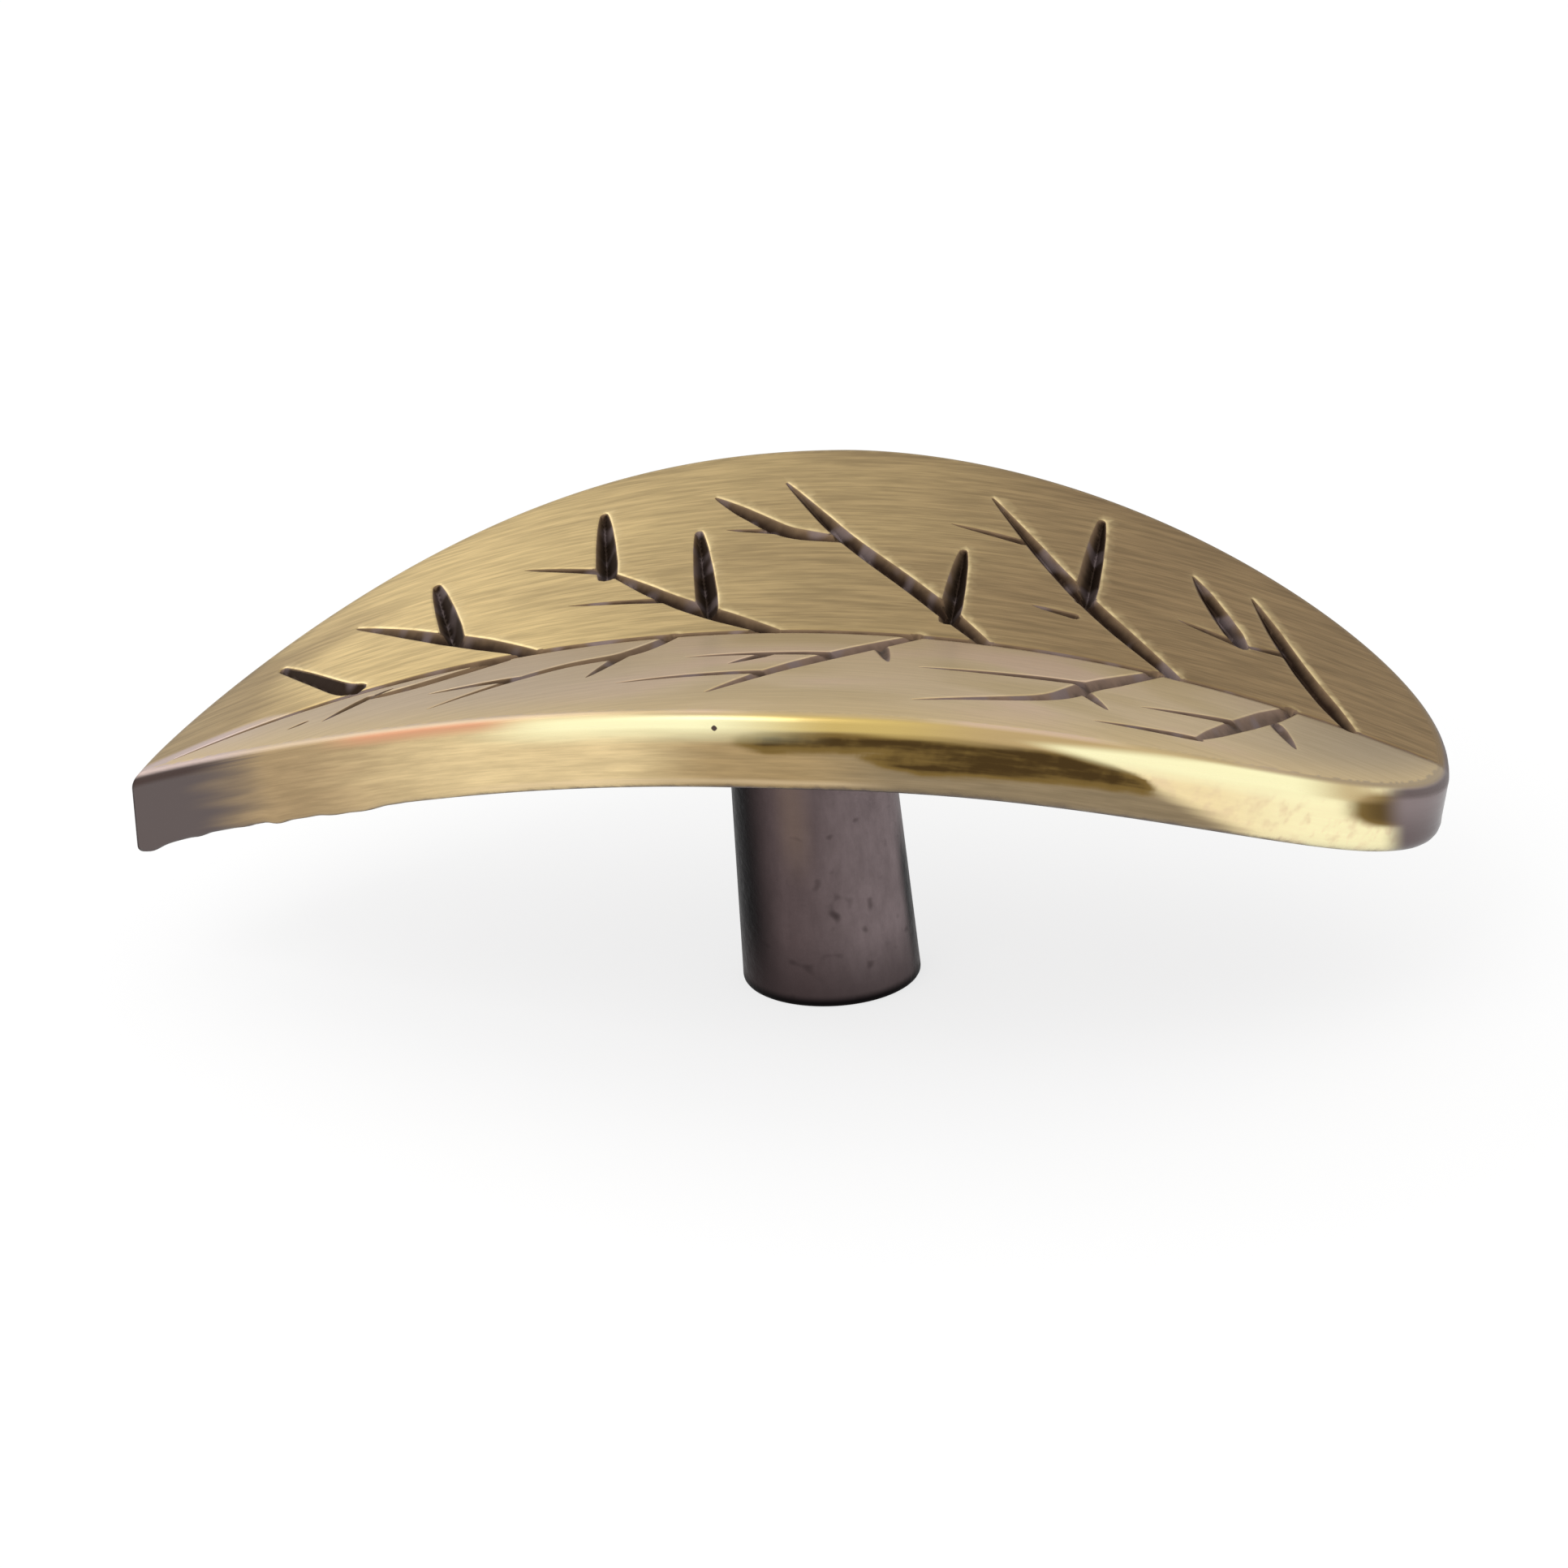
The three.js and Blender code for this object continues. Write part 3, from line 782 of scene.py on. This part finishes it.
def edge_stain(x, depth):
    """Strength of the painted dark reflection on the near edge."""
    stain = np.zeros(len(x))
    for band in EDGE_DARK_REFLECTION:
        place, *shape = np.array(band, float).T
        middle, reach, strength = (np.interp(x, place, values) for values in shape)
        away = np.clip(np.abs(depth - middle) / reach, 0, 1.4) / 1.4
        stain = np.maximum(stain, strength * (1 - away * away * (3 - 2 * away)))
    return stain


def casting_object(casting):
    """Welded mesh in metres, with the marks as point attributes and the carving's own normals."""
    mesh = bpy.data.meshes.new("leaf_casting")
    mesh.from_pydata([Vector(p) * MM for p in casting.points], [], casting.faces)
    for name, values in casting.marks.items():
        mesh.attributes.new(name, "FLOAT", "POINT").data.foreach_set("value", values)
    flat = np.array(casting.skin, float).ravel()
    mesh.attributes.new("skin", "FLOAT_VECTOR", "POINT").data.foreach_set("vector", flat)
    flat = np.array(casting.normals, float).ravel()
    mesh.attributes.new("lie", "FLOAT_VECTOR", "POINT").data.foreach_set("vector", flat)
    welded = bmesh.new()
    welded.from_mesh(mesh)
    bmesh.ops.remove_doubles(welded, verts=welded.verts, dist=WELD * MM)
    bmesh.ops.dissolve_degenerate(welded, edges=welded.edges, dist=WELD * MM)
    bmesh.ops.holes_fill(welded, edges=[e for e in welded.edges if e.is_boundary], sides=3)
    bmesh.ops.triangulate(welded, faces=[f for f in welded.faces if len(f.verts) > 4])
    welded.to_mesh(mesh)
    welded.free()
    mesh.shade_smooth()
    mesh.set_sharp_from_angle(angle=math.radians(SHARP_ANGLE))
    lie = np.zeros(len(mesh.vertices) * 3, np.float32)
    mesh.attributes["lie"].data.foreach_get("vector", lie)
    mesh.normals_split_custom_set_from_vertices(lie.reshape(-1, 3).tolist())
    mesh.attributes.remove(mesh.attributes["lie"])
    place_uvs(mesh)
    piece = bpy.data.objects.new("leaf_casting", mesh)
    bpy.context.scene.collection.objects.link(piece)
    return piece


def place_uvs(mesh):
    """Unwraps along the skin, so that the brushing runs with the length of the leaf."""
    skin = np.zeros(len(mesh.vertices) * 3, np.float32)
    mesh.attributes["skin"].data.foreach_get("vector", skin)
    skin = skin.reshape(-1, 3)
    uv = np.column_stack([skin[:, 0], skin[:, 1] + skin[:, 2]]) / LEAF_LENGTH
    corners = np.zeros(len(mesh.loops), np.int32)
    mesh.loops.foreach_get("vertex_index", corners)
    layer = mesh.uv_layers.new(name="brushing")
    layer.data.foreach_set("uv", uv[corners].ravel())


# Material. In the colours, x is -45 at the tip and 45 at the stalk end, and the depth is measured
# down from the top of the edge, both in millimetres.
def linear(red, green, blue):
    """Linear colour of a display colour given in 0 to 255."""
    shares = [c / 255 for c in (red, green, blue)]
    return tuple(s / 12.92 if s < 0.04045 else ((s + 0.055) / 1.055) ** 2.4 for s in shares) + (1,)


class Graph:
    """Short calls that add linked nodes to a material or a world."""

    def __init__(self, owner):
        owner.use_nodes = True
        self.tree = owner.node_tree
        self.tree.nodes.clear()

    def add(self, kind, inputs=(), **settings):
        node = self.tree.nodes.new("ShaderNode" + kind)
        for name, value in settings.items():
            setattr(node, name, value)
        for key, value in dict(inputs).items():
            if isinstance(value, bpy.types.NodeSocket):
                self.tree.links.new(value, node.inputs[key])
            else:
                node.inputs[key].default_value = value
        return node

    def maths(self, operation, *values, clamp=False):
        node = self.add("Math", enumerate(values), operation=operation, use_clamp=clamp)
        return node.outputs[0]

    def plus(self, first, second):
        return self.maths("ADD", first, second)

    def minus(self, first, second):
        return self.maths("SUBTRACT", first, second)

    def times(self, first, second):
        return self.maths("MULTIPLY", first, second)

    def sloped(self, value, slope, start):
        """The value times the slope, plus the start."""
        return self.maths("MULTIPLY_ADD", value, slope, start)

    def mix(self, share, first, second, blend="MIX"):
        """Mix of two colours, each a link or a display colour."""
        first, second = (linear(*c) if isinstance(c, tuple) else c for c in (first, second))
        node = self.add("Mix", {0: share, 6: first, 7: second}, data_type="RGBA", blend_type=blend)
        return node.outputs[2]

    def span(self, value, low, high, start=0.0, end=1.0):
        """Eased step of a value from low to high."""
        inputs = {0: value, 1: low, 2: high, 3: start, 4: end}
        return self.add("MapRange", inputs, interpolation_type="SMOOTHSTEP").outputs[0]

    def band(self, value, centre, reach):
        """One at the centre, easing to nothing at the reach."""
        away = self.maths("ABSOLUTE", self.minus(value, centre))
        return self.span(self.maths("DIVIDE", away, reach), 1.0, 0.0)

    def mark(self, name, output="Fac"):
        return self.add("Attribute", attribute_name=name).outputs[output]

    def noise(self, place, stretch, detail=3.0, roughness=0.55, offset=0.0):
        """Noise between 0 and 1, with its own count of features to a millimetre on each axis."""
        moved = self.add(
            "Mapping", {"Vector": place, "Scale": stretch, "Location": (offset, offset, offset)}
        )
        inputs = {"Vector": moved.outputs[0], "Scale": 1.0, "Detail": detail, "Roughness": roughness}
        return self.add("TexNoise", inputs).outputs["Fac"]


class Skin:
    """What the parts of the finish share: places on the metal, its marks and its brushing."""

    def __init__(self, g):
        self.g = g
        self.skin = g.mark("skin", "Vector")
        self.depth = g.add("SeparateXYZ", {0: self.skin}).outputs[2]
        metres = g.add("TexCoord").outputs["Object"]
        self.place = g.add("VectorMath", {0: metres, 3: 1 / MM}, operation="SCALE").outputs[0]
        self.x, self.y, self.z = g.add("SeparateXYZ", {0: self.place}).outputs
        self.fine = g.noise(self.skin, (0.22, 6.5, 6.5), detail=4.0, roughness=0.6)
        self.middle = g.noise(self.skin, (0.2, 1.9, 1.9), detail=3.0, roughness=0.6, offset=23.0)
        self.broad = g.noise(self.skin, (0.05, 0.9, 0.9), detail=2.0, offset=7.0)
        self.cloud = g.noise(self.place, (0.07, 0.12, 0.1), detail=1.0, offset=3.0)
        self.spots = g.noise(self.place, (0.8, 0.8, 0.8), detail=2.0, offset=11.0)
        self.flecks = g.noise(self.place, (0.55, 0.55, 0.55), detail=0.0, offset=17.0)
        mixed = g.sloped(self.fine, 0.35, g.times(self.broad, 0.15))
        mixed = g.sloped(self.middle, 0.5, mixed)
        self.streak = g.span(mixed, 0.36, 0.66)

    def brushed(self, colour, depth):
        """The colour, darker in some streaks of the brushing and lighter in others."""
        g = self.g
        level = g.sloped(self.streak, 2 * depth, 1 - depth)
        grey = g.add("CombineXYZ", {0: level, 1: level, 2: level}).outputs[0]
        return g.mix(1.0, colour, grey, "MULTIPLY")


def top_colour(s):
    """Yellower and lighter towards the tip and browner towards the stalk, which is a painted
    reflection; shaded at the tip's far side and along the far outline.
    """
    g = s.g
    # Painted reflection: the far half lighter towards the tip and darker towards the stalk.
    drift = g.sloped(g.minus(s.cloud, 0.5), 24.0, s.x)
    far = g.mix(g.span(drift, -36.0, 30.0), TOP_TIP, TOP_STALK)
    shade = g.times(g.span(drift, -27.0, -39.0), 0.85)
    far = s.brushed(g.mix(shade, far, TOP_SHADE), 0.22)
    # Painted shade: a darker line along the far outline, strongest by the tip.
    rim = g.times(g.mark("border"), g.span(s.x, -30.0, -39.0, 0.4, 1.0))
    far = g.mix(rim, far, FAR_RIM_SHADE)
    near = g.mix(g.span(s.cloud, 0.5, 0.62), NEAR_TOP, NEAR_ROSE)
    near = g.mix(g.span(s.cloud, 0.5, 0.38), near, NEAR_OLIVE)
    near = g.mix(g.span(s.x, 26.0, 41.0), near, NEAR_STALK)
    near = g.mix(g.span(s.x, 2.0, -18.0), near, NEAR_PALE)
    near = g.mix(g.span(s.x, -33.0, -39.0), near, NEAR_TIP)
    near = g.mix(g.times(g.mark("border"), 0.8), near, NEAR_BORDER)
    near = s.brushed(near, 0.07)
    fold = g.minus(s.y, g.span(s.x, -31.0, -36.0, 0.0, 1.6))
    return g.mix(g.span(fold, -0.2, -0.9), far, near)


def edge_colour(s):
    """Polished band: grey at both ends, with a painted dark reflection in the middle and a painted
    bright reflection, cream, towards the stalk.
    """
    g = s.g
    wander = g.times(g.minus(s.broad, 0.5), 6.0)
    x = g.plus(s.x, wander)
    edge = g.mix(g.span(x, -33.0, -17.0), EDGE_OLD, EDGE_GOLD)
    edge = g.mix(g.span(x, -9.0, -1.0), edge, EDGE_BROWN)
    edge = g.mix(g.span(x, 3.0, 13.0), edge, EDGE_GREY)
    edge = s.brushed(edge, 0.14)

    # Painted bright reflection: the edge turns cream and then brighter towards the stalk end.
    slant = g.sloped(s.depth, -2.6, g.sloped(wander, 0.5, s.x))
    cream = g.mix(g.span(s.x, 29.0, 37.0), EDGE_CREAM, EDGE_BRIGHT)
    cream = g.mix(g.span(s.spots, 0.45, 0.7, 0.0, 0.6), cream, EDGE_ROSE)
    cream = s.brushed(cream, 0.02)
    edge = g.mix(g.span(slant, 17.0, 21.0), edge, cream)

    # Painted dark reflection: brown bands across the middle of the near edge.
    streaks = g.times(g.minus(s.middle, 0.5), 1.3)
    stain = g.times(g.plus(streaks, 1.0), g.mark("stain"))
    stain = g.times(stain, g.span(s.spots, 0.75, 0.4, 0.85, 1.05))
    edge = g.mix(g.span(stain, 0.05, 0.45), edge, EDGE_DARK_PALE)
    edge = g.mix(g.span(stain, 0.4, 0.95), edge, EDGE_DARK_DEEP)

    drift = g.times(g.minus(s.cloud, 0.5), 1.2)
    level = g.maths("ABSOLUTE", g.minus(g.plus(s.depth, drift), 1.7))
    patch = g.times(g.span(level, 1.7, 0.4), g.span(s.x, 37.2, 41.6))
    edge = g.mix(g.span(patch, 0.0, 0.55), edge, EDGE_DARK_PALE)
    edge = g.mix(g.span(patch, 0.4, 0.95, 0.0, 0.65), edge, EDGE_DARK_DEEP)

    end = g.mix(g.span(s.depth, 4.0, 1.0), END_DEEP, END_PALE)
    end = g.mix(g.span(s.y, -9.0, -15.0), end, END_DEEP)
    edge = g.mix(g.span(g.plus(s.x, g.times(drift, 0.6)), 40.5, 42.4), edge, end)
    middle = g.times(g.span(s.x, -22.0, -12.0), g.span(s.x, 11.0, 6.0))
    lip = g.times(g.band(s.depth, 4.85, 0.35), middle)
    edge = g.mix(g.times(lip, 0.45), edge, EDGE_ROSE)
    patchy = g.sloped(g.minus(s.cloud, 0.5), 9.0, x)
    return g.mix(g.span(patchy, -34.0, -41.5), edge, EDGE_TIP)


def fillet_colour(s, edge):
    """The edge with its upper fillet: gold, with a painted highlight in two stretches, coppery by
    the tip.
    """
    g = s.g
    near = g.span(s.y, 0.5, -0.5)
    drift = g.times(g.minus(s.broad, 0.5), 1.2)
    depth = g.plus(s.depth, drift)
    gold = g.times(g.span(s.x, -4.0, 3.0), g.span(s.x, 42.0, 38.0))
    gold = g.times(gold, g.span(depth, 1.5, 0.9))
    tone = g.mix(g.span(s.x, 9.0, 18.0), FILLET_GOLD, FILLET_TAN)
    side = g.mix(gold, edge, tone)
    # Painted highlight along two stretches of the near fillet.
    left = g.times(g.span(s.x, -20.0, -11.0), g.span(s.x, 7.0, -3.0))
    left = g.times(left, g.span(depth, 2.3, 0.9))
    left = g.times(left, g.span(s.depth, 0.05, 0.6))
    slant = g.sloped(s.depth, -5.5, s.x)
    right = g.times(g.span(slant, 12.8, 17.2), g.span(s.x, 40.0, 35.0))
    right = g.times(right, g.span(depth, 2.4, 1.0))
    right = g.times(right, g.span(g.sloped(s.x, 0.06, s.depth), 1.62, 2.22))
    light = g.maths("MAXIMUM", left, right)
    side = g.mix(g.times(light, near), side, FILLET_HIGHLIGHT)
    copper = g.times(g.span(g.band(s.x, -22.0, 10.0), 0.0, 0.7), g.band(s.depth, 0.2, 0.9))
    side = g.mix(g.times(copper, near), side, FILLET_COPPER)
    pit = g.plus(g.band(s.x, PIT[0], 0.35), g.band(s.depth, PIT[1], 0.35))
    side = g.mix(g.times(g.span(pit, 1.2, 1.6), near), side, FILLET_DARK)
    ends = g.maths("MAXIMUM", g.span(s.x, -36.0, -41.0), g.span(s.x, 40.5, 42.0, 0.0, 0.6))
    shade = g.times(g.span(s.depth, 0.12, 0.35), g.span(s.depth, 0.95, 0.5))
    side = g.mix(g.times(ends, shade), side, FILLET_DARK)
    # Painted shade on the far fillet.
    return g.mix(g.span(s.y, 0.3, 1.5, 0.0, 0.5), side, FAR_RIM_SHADE)


def underside_and_post_colour(s, post):
    """Dark casting skin under the leaf and on the post, with painted light and shade on the post:
    paler towards the stalk with a painted brown sheen, blackest down the side towards the tip and
    darker towards the floor.
    """
    g = s.g
    rough = g.noise(s.place, (0.9, 0.9, 0.35), detail=4.0, roughness=0.65)
    under = g.mix(g.span(rough, 0.3, 0.7), OXIDE_DEEP, OXIDE_MID)
    axis = g.sloped(s.z, -math.tan(math.radians(POST_LEAN)), POST_OFFSET)
    side = g.maths("DIVIDE", g.minus(s.x, axis), POST_BASE_RADIUS)
    # Painted light: the post is paler on the side towards the stalk.
    column = g.mix(g.span(side, -0.3, 0.9), OXIDE_MID, POST_LIT)
    column = g.mix(g.span(rough, 0.75, 0.25, 0.0, 0.3), column, OXIDE_DEEP)
    # Painted sheen: a brown band down the upper part of the post, a little towards the tip.
    sheen = g.times(g.band(side, -0.15, 0.28), g.span(s.z, 8.0, 13.0, 0.0, 0.5))
    column = g.mix(sheen, column, POST_SHEEN)
    where = g.times(g.band(side, 0.25, 0.5), g.band(s.z, 7.5, 5.5))
    pits = g.sloped(where, 0.15, g.noise(s.place, (0.9, 0.9, 1.1), detail=0.0, offset=5.0))
    column = g.mix(g.span(pits, 0.7, 0.95, 0.0, 0.9), column, OXIDE_DEEP)
    turned = g.times(g.span(s.y, -2.4, -1.0), g.span(side, 0.7, 0.8))
    column = g.mix(g.times(turned, g.span(s.z, 13.0, 8.0)), column, POST_BLACK)
    # Painted shade: near black down the post's side towards the tip.
    column = g.mix(g.span(side, -0.3, -0.78), column, POST_BLACK)
    # Painted shade: darker towards the floor, and black at the base's rounding.
    column = g.mix(g.span(s.z, 6.0, 0.0, 0.0, 0.8), column, OXIDE_DEEP)
    column = g.mix(g.span(s.z, 0.9, 0.3), column, POST_BLACK)
    return g.mix(post, under, column), rough


def brass():
    """Antique brass: brushed and rubbed bright on top and edge, with painted highlights there, dark
    in the carving and beneath, with painted shade on one wall of each cut.
    """
    material = bpy.data.materials.new("antique_brass")
    g = Graph(material)
    s = Skin(g)
    wear, dark, round_, post = (g.mark(name) for name in ("wear", "dark", "round", "post"))
    side = fillet_colour(s, edge_colour(s))
    colour = g.mix(g.span(s.depth, 0.05, 0.3), top_colour(s), side)
    under, rough = underside_and_post_colour(s, post)
    beneath = g.sloped(g.minus(rough, 0.5), 0.2, round_)
    beneath = g.span(beneath, 0.8, 0.96)
    colour = g.mix(beneath, colour, under)

    # Rubbed bright rims of the cuts, with their painted highlight.
    patchy = g.times(wear, g.span(s.spots, 0.35, 0.6, 0.35, 1.0))
    colour = g.mix(patchy, colour, RIM_WORN_AND_LIT)
    # The cuts' own dark patina, with the painted shade from finish_at on one wall.
    sunk = g.sloped(g.minus(s.spots, 0.5), 0.4, dark)
    rose = g.times(g.span(s.y, 0.5, -1.0), g.span(s.x, -16.0, 2.0))
    wall = g.mix(rose, GROOVE_WALL, GROOVE_ROSE)
    wall = g.mix(g.span(sunk, 0.15, 0.9), wall, GROOVE_BLACK)
    wall = g.mix(g.span(s.flecks, 0.52, 0.75, 0.0, 0.6), wall, GROOVE_MAUVE)
    cut = g.span(dark, 0.0, 0.18)
    colour = g.mix(cut, colour, wall)

    roughness = g.sloped(s.streak, -0.06, 0.36)
    roughness = g.sloped(g.span(s.depth, 0.5, 1.2), -0.1, roughness)
    roughness = g.sloped(g.maths("MAXIMUM", cut, beneath), 0.16, roughness)
    grain = g.add("Bump", {"Height": s.fine, "Distance": 0.02 * MM, "Strength": 0.35}).outputs[0]
    cast = g.times(g.noise(s.place, (1.6, 1.6, 1.6), detail=3.0), beneath)
    relief = g.add("Bump", {"Height": cast, "Distance": 0.1 * MM, "Strength": 0.5, "Normal": grain})
    surface = g.add(
        "BsdfPrincipled",
        {
            "Base Color": colour,
            "Metallic": 1.0,
            "Roughness": roughness,
            "Specular Tint": (0.7, 0.7, 0.7, 1),
            "Normal": relief.outputs[0],
        },
    )
    g.add("OutputMaterial", {"Surface": surface.outputs[0]})
    return material


# Studio
def backdrop_rays(g):
    """One for rays that see the backdrop straight or mirrored in the metal."""
    rays = g.add("LightPath").outputs
    seen = g.plus(rays["Is Camera Ray"], rays["Is Glossy Ray"])
    return g.maths("ADD", seen, rays["Is Transmission Ray"], clamp=True)


def build_floor():
    mesh = bpy.data.meshes.new("floor")
    sides = [(-1, -1), (1, -1), (1, 1), (-1, 1)]
    corners = [(FLOOR_REACH * x, FLOOR_REACH * y, FLOOR_HEIGHT) for x, y in sides]
    mesh.from_pydata(corners, [], [(0, 1, 2, 3)])
    material = bpy.data.materials.new("floor_white")
    g = Graph(material)
    matt = g.add("BsdfDiffuse", {"Color": (FLOOR_WHITE, FLOOR_WHITE, FLOOR_WHITE, 1)})
    lift = g.times(backdrop_rays(g), FLOOR_LIFT)
    glow = g.add("Emission", {"Color": (1, 1, 1, 1), "Strength": lift})
    both = g.add("AddShader", {0: matt.outputs[0], 1: glow.outputs[0]})
    g.add("OutputMaterial", {"Surface": both.outputs[0]})
    mesh.materials.append(material)
    floor = bpy.data.objects.new("floor", mesh)
    bpy.context.scene.collection.objects.link(floor)


def build_world():
    world = bpy.data.worlds.new("studio")
    bpy.context.scene.world = world
    g = Graph(world)
    strength = g.sloped(backdrop_rays(g), 1 - WORLD_LEVEL, WORLD_LEVEL)
    light = g.add("Background", {"Color": (1, 1, 1, 1), "Strength": strength})
    g.add("OutputWorld", {"Surface": light.outputs[0]})


def softbox(name, place, size, level, target=(0, 0, 0.02)):
    """Square area lamp that faces the pull. Level is its brightness as seen, where 1 is white."""
    lamp = bpy.data.lights.new(name, "AREA")
    lamp.size = size
    lamp.energy = level * math.pi * size * size
    holder = bpy.data.objects.new(name, lamp)
    holder.location = place
    holder.rotation_mode = "QUATERNION"
    holder.rotation_quaternion = (Vector(target) - Vector(place)).to_track_quat("-Z", "Y")
    bpy.context.scene.collection.objects.link(holder)


def build_camera():
    """Camera at the photograph's angle, rolled a little."""
    e, a, r = (math.radians(v) for v in (VIEW_ELEVATION, VIEW_AZIMUTH, VIEW_ROLL))
    back = Vector((math.sin(a) * math.cos(e), -math.cos(a) * math.cos(e), math.sin(e)))
    level = Vector((math.cos(a), math.sin(a), 0))
    upright = back.cross(level)
    right = level * math.cos(r) + upright * math.sin(r)
    up = upright * math.cos(r) - level * math.sin(r)
    camera = bpy.data.cameras.new("camera")
    camera.sensor_width = 36
    camera.lens = VIEW_LENS
    camera.clip_start, camera.clip_end = 0.02, 20
    holder = bpy.data.objects.new("camera", camera)
    turn = Matrix((right, up, back)).transposed().to_4x4()
    holder.matrix_world = Matrix.Translation(Vector(VIEW_TARGET) * MM + back * VIEW_DISTANCE) @ turn
    bpy.context.scene.collection.objects.link(holder)
    bpy.context.scene.camera = holder


casting = casting_object(build_casting())
casting.data.materials.append(brass())
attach(casting, "root")
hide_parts("leaf_pull")

build_floor()
build_world()
for lamp in SOFTBOXES:
    softbox(*lamp)
build_camera()
bpy.context.scene.view_settings.view_transform = "Standard"
